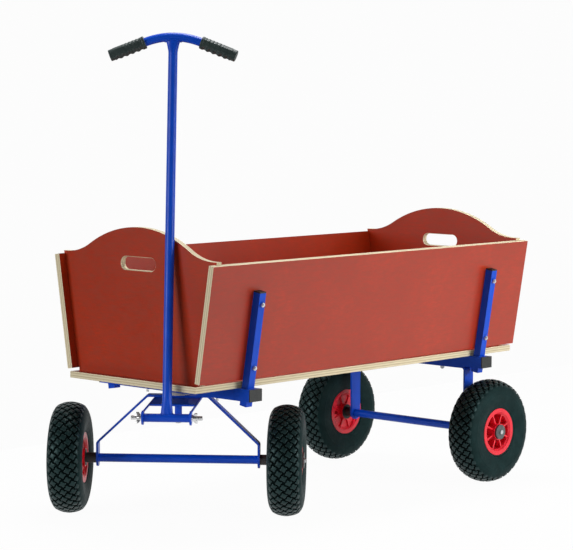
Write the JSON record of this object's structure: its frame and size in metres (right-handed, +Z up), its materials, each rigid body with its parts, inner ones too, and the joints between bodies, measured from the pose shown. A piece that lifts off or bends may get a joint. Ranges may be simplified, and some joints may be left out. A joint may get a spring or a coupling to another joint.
{
  "type": "garden cart",
  "caption": "Four-wheeled pull-along cart with a plywood box on a steel frame, a steered front axle and a hinged pole with a cross handle.",
  "frame": {"origin": "on the ground, in the middle of the bounding box of the cart as pictured (front axle turned, pole parked)", "axes": "+Z up, -Y the way the cart faces, +X its left side"},
  "size_m": [0.5976, 1.2772, 1.1187],
  "materials": {
    "film_faced_plywood": "red-brown film on both faces, bare pale edges",
    "blue_paint": "gloss powder coat",
    "black_plastic": "moulded",
    "grey_plastic": "moulded",
    "nylon": "moulded",
    "tyre_rubber": "moulded blocks on the tread",
    "tube_rubber": "smooth",
    "red_plastic": "moulded",
    "grip_rubber": "ribbed",
    "zinc": "zinc plated"
  },
  "bodies": {
    "chassis": {"floor_panel": "film_faced_plywood", "side_panel_left": "film_faced_plywood", "side_panel_right": "film_faced_plywood", "end_panel_front": "film_faced_plywood", "end_panel_rear": "film_faced_plywood", "front_beam": "blue_paint", "rear_beam": "blue_paint", "beam_plugs": "black_plastic", "front_post_left": "blue_paint", "front_post_right": "blue_paint", "rear_post_left": "blue_paint", "rear_post_right": "blue_paint", "post_plugs": "black_plastic", "panel_bolts": "zinc", "panel_nuts": "zinc", "floor_bolts": "zinc", "floor_nuts": "zinc", "rear_axle_bracket": "blue_paint", "rear_axle": "blue_paint", "rear_axle_spacers": "black_plastic", "rear_axle_washers": "grey_plastic", "rear_axle_screws": "zinc", "king_bolt": "zinc", "king_nut": "zinc", "king_washer": "zinc", "thrust_washer": "nylon"},
    "steering": {"front_brace": "blue_paint", "steering_plate": "blue_paint", "steering_tube": "blue_paint", "fork_arms": "blue_paint", "front_axle": "blue_paint", "front_axle_spacers": "black_plastic", "front_axle_washers": "grey_plastic", "front_axle_screws": "zinc", "hinge_bolt": "zinc", "wing_nuts": "zinc"},
    "pole": {"hinge_tube": "blue_paint", "pole": "blue_paint", "handle_bar": "blue_paint", "grip_left": "grip_rubber", "grip_right": "grip_rubber"},
    "front_left_wheel": {"front_left_tyre": "tyre_rubber", "front_left_inner_tube": "tube_rubber", "front_left_rim": "red_plastic", "front_left_bearings": "black_plastic"},
    "front_right_wheel": {"front_right_tyre": "tyre_rubber", "front_right_inner_tube": "tube_rubber", "front_right_rim": "red_plastic", "front_right_bearings": "black_plastic"},
    "rear_left_wheel": {"rear_left_tyre": "tyre_rubber", "rear_left_inner_tube": "tube_rubber", "rear_left_rim": "red_plastic", "rear_left_bearings": "black_plastic"},
    "rear_right_wheel": {"rear_right_tyre": "tyre_rubber", "rear_right_inner_tube": "tube_rubber", "rear_right_rim": "red_plastic", "rear_right_bearings": "black_plastic"}
  },
  "joints": [
    {"name": "steering_turn", "type": "hinge", "parent": "chassis", "child": "steering", "pos_m": [0, -0.36536, 0.27], "axis": [0, 0, 1], "range_deg": [-77.8, 0]},
    {"name": "pole_swing", "type": "hinge", "parent": "steering", "child": "pole", "pos_m": [0.15197, -0.55369, 0.2615], "axis": [0.7782, 0.628, 0], "range_deg": [0, 114]},
    {"name": "front_left_wheel_spin", "type": "hinge", "parent": "steering", "child": "front_left_wheel", "pos_m": [0.19767, -0.20585, 0.13], "axis": [0.7782, 0.628, 0], "continuous": true},
    {"name": "front_right_wheel_spin", "type": "hinge", "parent": "steering", "child": "front_right_wheel", "pos_m": [-0.19767, -0.52486, 0.13], "axis": [0.7782, 0.628, 0], "continuous": true},
    {"name": "rear_left_wheel_spin", "type": "hinge", "parent": "chassis", "child": "rear_left_wheel", "pos_m": [0.254, 0.48664, 0.13], "axis": [1, 0, 0], "continuous": true},
    {"name": "rear_right_wheel_spin", "type": "hinge", "parent": "chassis", "child": "rear_right_wheel", "pos_m": [-0.254, 0.48664, 0.13], "axis": [1, 0, 0], "continuous": true}
  ]
}
